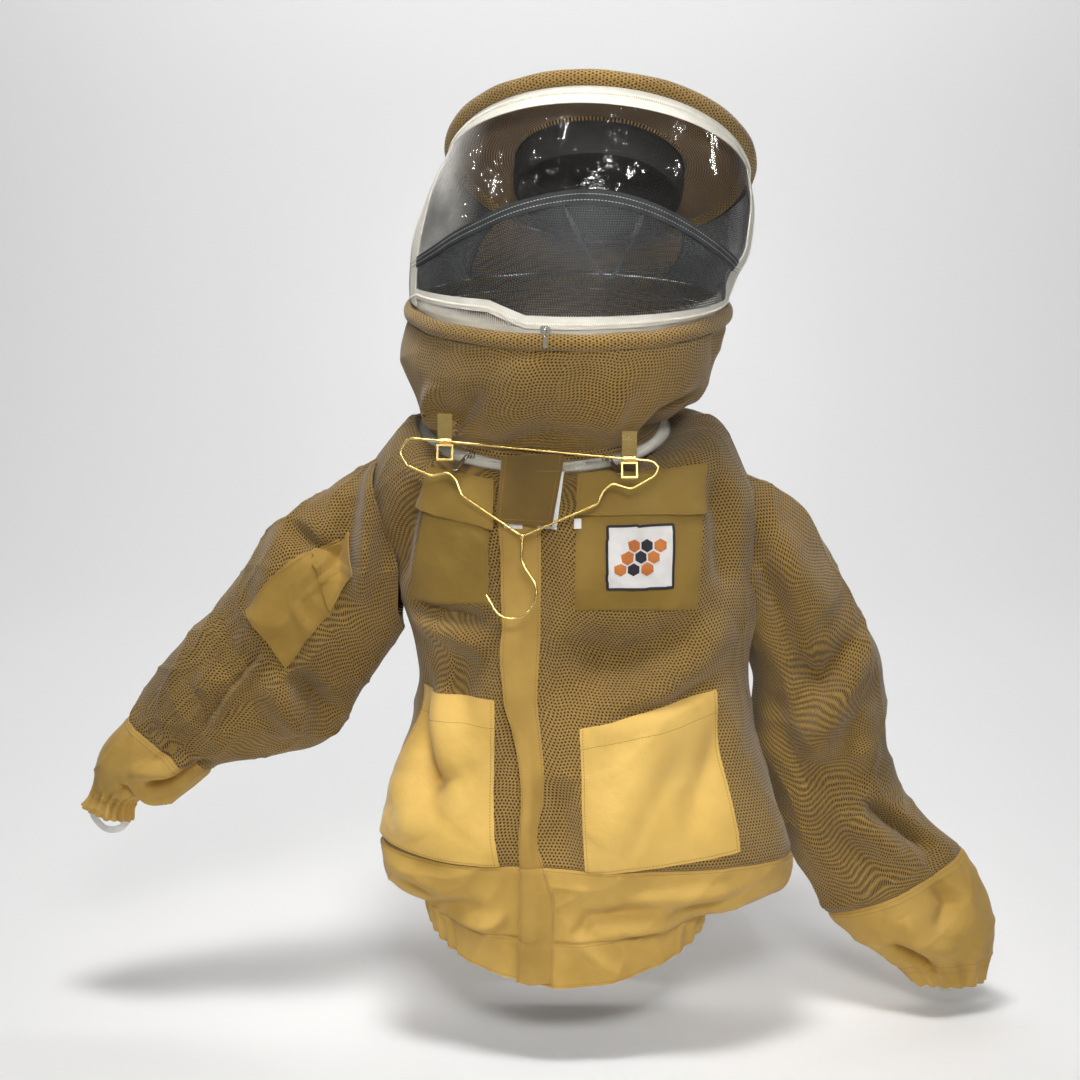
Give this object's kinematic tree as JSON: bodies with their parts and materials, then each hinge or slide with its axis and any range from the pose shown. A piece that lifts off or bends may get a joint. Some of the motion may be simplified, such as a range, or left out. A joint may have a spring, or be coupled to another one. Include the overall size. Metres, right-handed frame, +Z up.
{
  "type": "beekeeping jacket with hood",
  "caption": "Ventilated beekeeping jacket with a round zip-on hood, clear and screened visor, pockets and elastic cuffs, held by a loop and fitted with a clip hanger.",
  "frame": {"origin": "top of the hanging loop inside the back of the neck", "axes": "+Z up, the wearer faces -Y, +X is the wearer's left"},
  "size_m": [1.1012, 0.3739, 1.0814],
  "materials": {
    "mesh_cloth": "three-layer ventilated mesh with rows of small round holes",
    "cotton_cloth": "woven cotton twill with double topstitching",
    "gathered_elastic": "cotton gathered over elastic",
    "white_tape": "matt woven tape",
    "white_elastic": "matt elastic webbing",
    "badge": "woven patch with a dark border",
    "black_screen": "open woven screen",
    "black_binding": "matt binding with two rows of stitches",
    "head_foam": "padded cloth",
    "grey_strap": "ribbed elastic",
    "clear_window": "clear flexible PVC",
    "hoop_wire": "spring wire inside its cloth roll",
    "zip_metal": "plated slider",
    "brass_wire": "polished, brass coloured wire and plate"
  },
  "bodies": {
    "jacket": {"front_panel_right": "mesh_cloth", "front_panel_left": "mesh_cloth", "back_panel": "mesh_cloth", "waist_panel_right": "cotton_cloth", "waist_panel_left": "cotton_cloth", "waist_panel_back": "cotton_cloth", "hem_band_right": "cotton_cloth", "hem_band_left": "cotton_cloth", "hem_elastic": "gathered_elastic", "front_zip": "white_tape", "placket": "cotton_cloth", "chest_pocket_right": "cotton_cloth", "chest_pocket_left": "cotton_cloth", "lower_pocket_right": "cotton_cloth", "lower_pocket_left": "cotton_cloth", "badge_patch": "badge", "side_tag": "white_tape", "neck_zip_lower_half": "white_tape", "hanging_loop": "white_tape", "touch_fastener_tabs": "white_tape"},
    "sleeve_right": {"sleeve_right": "mesh_cloth", "cuff_right": "cotton_cloth", "cuff_elastic_right": "gathered_elastic", "thumb_loop_right": "white_elastic", "sleeve_pocket": "cotton_cloth"},
    "sleeve_left": {"sleeve_left": "mesh_cloth", "cuff_left": "cotton_cloth", "cuff_elastic_left": "gathered_elastic", "thumb_loop_left": "white_elastic"},
    "hood": {"hood_skirt": "mesh_cloth", "lower_hoop_cover": "mesh_cloth", "upper_hoop_cover": "mesh_cloth", "hoop_wires": "hoop_wire", "hood_back": "mesh_cloth", "side_screens": "black_screen", "brim": "cotton_cloth", "crown": "mesh_cloth", "headband": "head_foam", "chin_strap": "grey_strap", "visor_screen": "black_screen", "screen_binding": "black_binding", "visor_window": "clear_window", "visor_zip_tape": "white_tape", "hoop_zip_tape": "white_tape", "neck_zip_upper_half": "white_tape", "clip_backs": "brass_wire"},
    "neck_slider_right": {"neck_slider_right": "zip_metal"},
    "neck_slider_left": {"neck_slider_left": "zip_metal"},
    "neck_pull_right": {"neck_pull_right": "zip_metal"},
    "neck_pull_left": {"neck_pull_left": "zip_metal"},
    "visor_slider": {"visor_slider": "zip_metal"},
    "front_slider": {"front_slider": "zip_metal"},
    "top_flap": {"top_flap": "cotton_cloth"},
    "chest_flap_right": {"chest_flap_right": "cotton_cloth"},
    "chest_flap_left": {"chest_flap_left": "cotton_cloth"},
    "sleeve_flap": {"sleeve_flap": "cotton_cloth"},
    "hanger": {"hanger_frame": "brass_wire", "hanger_hook": "brass_wire"},
    "clip_front_right": {"clip_front_right": "brass_wire"},
    "clip_front_left": {"clip_front_left": "brass_wire"}
  },
  "joints": [
    {"name": "hood_fold", "type": "hinge", "parent": "jacket", "child": "hood", "pos_m": [-0.03, 0.008, 0.019], "axis": [-1, 0, 0], "range_deg": [0, 95]},
    {"name": "sleeve_raise_right", "type": "hinge", "parent": "jacket", "child": "sleeve_right", "pos_m": [-0.228, -0.115, -0.053], "axis": [0, 1, 0], "range_deg": [0, 30]},
    {"name": "sleeve_raise_left", "type": "hinge", "parent": "jacket", "child": "sleeve_left", "pos_m": [0.2085, -0.111, -0.072], "axis": [0, -1, 0], "range_deg": [0, 35]},
    {"name": "neck_slider_travel_right", "type": "hinge", "parent": "hood", "child": "neck_slider_right", "pos_m": [-0.03, -0.122, -0.016], "axis": [0, -0.2756, 0.9613], "range_deg": [-4, 12]},
    {"name": "neck_slider_travel_left", "type": "hinge", "parent": "hood", "child": "neck_slider_left", "pos_m": [-0.03, -0.122, -0.016], "axis": [0, -0.2756, 0.9613], "range_deg": [-12, 4]},
    {"name": "front_slider_travel", "type": "slide", "parent": "jacket", "child": "front_slider", "axis": [0.0165, -0.0137, -0.9998], "range_m": [0, 0.48]},
    {"name": "visor_slider_travel", "type": "hinge", "parent": "hood", "child": "visor_slider", "pos_m": [-0.003, -0.135, 0.118], "axis": [0, -0.1908, 0.9816], "range_deg": [-30, 40]},
    {"name": "top_flap_lift", "type": "hinge", "parent": "hood", "child": "top_flap", "pos_m": [-0.046, -0.266, -0.0375], "axis": [-1, 0, 0], "range_deg": [0, 55]},
    {"name": "chest_flap_lift_left", "type": "hinge", "parent": "jacket", "child": "chest_flap_left", "pos_m": [0.077, -0.241, -0.0556], "axis": [-0.9546, -0.2919, -0.0597], "range_deg": [0, 15]},
    {"name": "sleeve_flap_lift", "type": "hinge", "parent": "sleeve_right", "child": "sleeve_flap", "pos_m": [-0.2479, -0.1765, -0.1564], "axis": [-0.2023, 0.097, 0.9745], "range_deg": [0, 60]},
    {"name": "hanger_swing", "type": "hinge", "parent": "hood", "child": "hanger", "pos_m": [0, -0.2619, -0.03569], "axis": [-0.9913, 0.0991, 0.0862], "range_deg": [0, 100]},
    {"name": "neck_pull_swing_right", "type": "hinge", "parent": "neck_slider_right", "child": "neck_pull_right", "pos_m": [-0.11329, -0.23018, -0.03974], "axis": [-0.7986, 0.5785, 0.1659], "range_deg": [0, 12]},
    {"name": "neck_pull_swing_left", "type": "hinge", "parent": "neck_slider_left", "child": "neck_pull_left", "pos_m": [0.0392, -0.23914, -0.04231], "axis": [-0.866, -0.4806, -0.1378], "range_deg": [0, 60]},
    {"name": "clip_jaw_right", "type": "hinge", "parent": "hood", "child": "clip_front_right", "pos_m": [-0.138, -0.2481, -0.02369], "axis": [1, 0, 0], "range_deg": [0, 14], "stiffness_Nm_per_rad": 0.1, "springref_deg": -17.19},
    {"name": "clip_jaw_left", "type": "hinge", "parent": "hood", "child": "clip_front_left", "pos_m": [0.061, -0.268, -0.041], "axis": [1, 0, 0], "range_deg": [0, 14], "stiffness_Nm_per_rad": 0.1, "springref_deg": -17.19},
    {"name": "chest_flap_lift_right", "type": "hinge", "parent": "jacket", "child": "chest_flap_right", "pos_m": [-0.1217, -0.2363, -0.0587], "axis": [-0.9258, 0.3469, 0.1501], "range_deg": [0, 15]}
  ]
}
